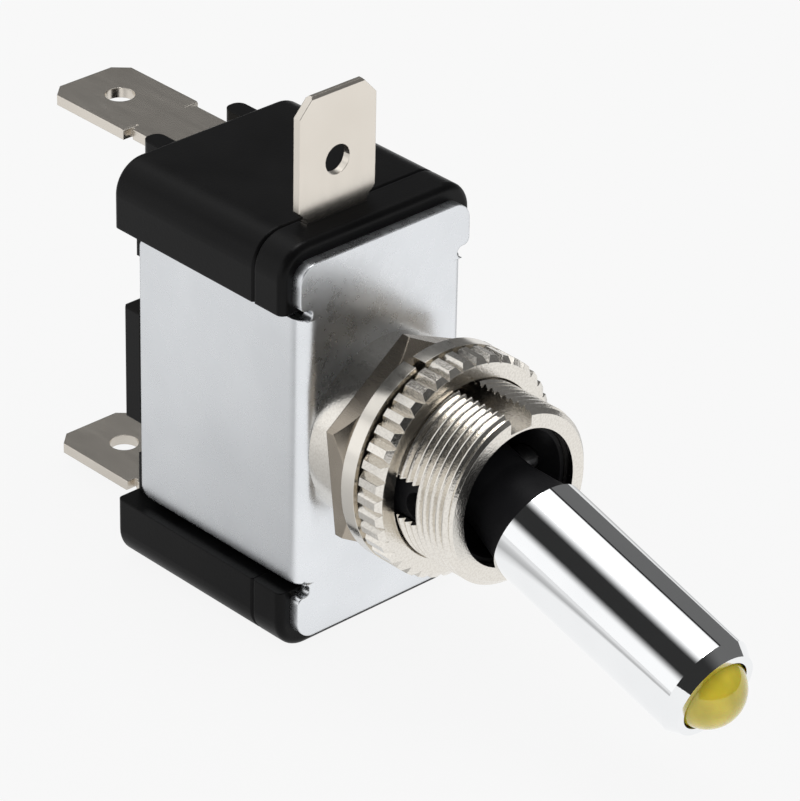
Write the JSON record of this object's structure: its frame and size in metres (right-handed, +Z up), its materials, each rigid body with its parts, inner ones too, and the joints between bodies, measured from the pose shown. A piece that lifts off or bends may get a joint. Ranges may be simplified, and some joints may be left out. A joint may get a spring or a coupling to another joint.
{
  "type": "illuminated toggle switch",
  "caption": "Panel toggle switch with a lamp in the tip of its bright lever, threaded bushing with hex nut, lock washer and knurled nut, black housing and blade terminals.",
  "frame": {"origin": "the lever's pivot axis where it crosses the axis of the threaded bushing", "axes": "-Y out of the bushing towards the front, +Y towards the rear blades, +Z up along the body towards the ground blade, +X across"},
  "size_m": [0.0158, 0.0605, 0.0375],
  "materials": {
    "zinc_sheet": "zinc plated, satin",
    "nickel": "nickel plated brass",
    "dark_nickel": "nickel plated, satin",
    "black_insert": "black moulded, fine grain",
    "black_housing": "black moulded, slight gloss",
    "tinned_blade": "tin plated brass",
    "contact_metal": "bare brass",
    "contact_silver": "silver contact",
    "spring_bronze": "phosphor bronze",
    "chrome_sleeve": "bright chrome",
    "lamp_lens": "tinted epoxy lens",
    "lead_wire": "tinned steel wire",
    "resistor_body": "lacquered",
    "steel_pin": "ground steel",
    "spring_steel": "drawn wire"
  },
  "bodies": {
    "housing": {"mounting_frame": "zinc_sheet", "threaded_bushing": "nickel", "pivot_carrier": "black_insert", "hex_nut": "dark_nickel", "spring_washer": "nickel", "knurled_ring_nut": "nickel", "front_cover": "black_housing", "base_housing": "black_housing", "load_terminal": "tinned_blade", "feed_terminal": "tinned_blade", "fixed_contact": "contact_metal", "ground_terminal": "tinned_blade", "ground_spring": "spring_bronze"},
    "lever": {"lever_core": "black_insert", "lever_sleeve": "chrome_sleeve", "led_lamp": "lamp_lens", "anode_lead": "lead_wire", "cathode_lead": "lead_wire", "series_resistor": "resistor_body", "pivot_pin": "steel_pin", "wiper_ring": "contact_metal", "plunger_spring": "spring_steel"},
    "plunger": {"plunger": "contact_metal"},
    "rocker": {"contact_rocker": "contact_metal", "moving_contact": "contact_silver"}
  },
  "joints": [
    {"name": "lever_pivot", "type": "hinge", "parent": "housing", "child": "lever", "pos_m": [0, 0, 0], "axis": [-1, 0, 0], "range_deg": [0, 33]},
    {"name": "plunger_slide", "type": "slide", "parent": "lever", "child": "plunger", "axis": [0, 0.9588, 0.284], "range_m": [-0.0008, 0], "stiffness_N_per_m": 600, "springref_m": 0.0006, "deforming": ["plunger_spring"]},
    {"name": "rocker_pivot", "type": "hinge", "parent": "housing", "child": "rocker", "pos_m": [0, 0.0214, 0], "axis": [-1, 0, 0], "range_deg": [-10, 0]}
  ],
  "couplings": [
    {"joint": "rocker_pivot", "follows": "lever_pivot", "ratio": -0.30303}
  ]
}
